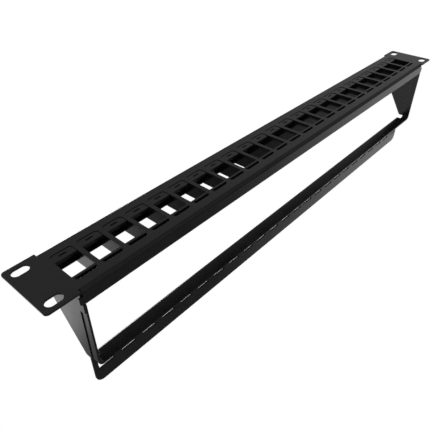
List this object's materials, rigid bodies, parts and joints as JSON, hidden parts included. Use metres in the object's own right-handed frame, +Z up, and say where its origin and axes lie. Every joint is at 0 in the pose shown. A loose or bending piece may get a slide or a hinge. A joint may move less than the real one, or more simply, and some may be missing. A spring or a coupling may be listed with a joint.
{
  "type": "patch panel",
  "caption": "Rack-mount patch panel with a row of empty keystone ports, and a slotted cable bar carried behind it by side brackets.",
  "frame": {"origin": "centre of the rack slot pattern, on the back of the ears where they meet the rack rails", "axes": "+X along the panel, +Y to the back of the rack, +Z up"},
  "size_m": [0.4826, 0.0928, 0.044],
  "materials": {
    "panel": "satin black paint on steel sheet",
    "port_frame": "satin black moulded plastic",
    "bracket": "satin black paint on steel sheet",
    "bar": "satin black paint on steel sheet"
  },
  "bodies": {
    "root": {"front_panel": "panel", "keystone_frame_01": "port_frame", "keystone_frame_02": "port_frame", "keystone_frame_03": "port_frame", "keystone_frame_04": "port_frame", "keystone_frame_05": "port_frame", "keystone_frame_06": "port_frame", "keystone_frame_07": "port_frame", "keystone_frame_08": "port_frame", "keystone_frame_09": "port_frame", "keystone_frame_10": "port_frame", "keystone_frame_11": "port_frame", "keystone_frame_12": "port_frame", "keystone_frame_13": "port_frame", "keystone_frame_14": "port_frame", "keystone_frame_15": "port_frame", "keystone_frame_16": "port_frame", "keystone_frame_17": "port_frame", "keystone_frame_18": "port_frame", "keystone_frame_19": "port_frame", "keystone_frame_20": "port_frame", "keystone_frame_21": "port_frame", "keystone_frame_22": "port_frame", "keystone_frame_23": "port_frame", "keystone_frame_24": "port_frame", "left_bracket": "bracket", "right_bracket": "bracket", "cable_bar": "bar"}
  },
  "joints": []
}
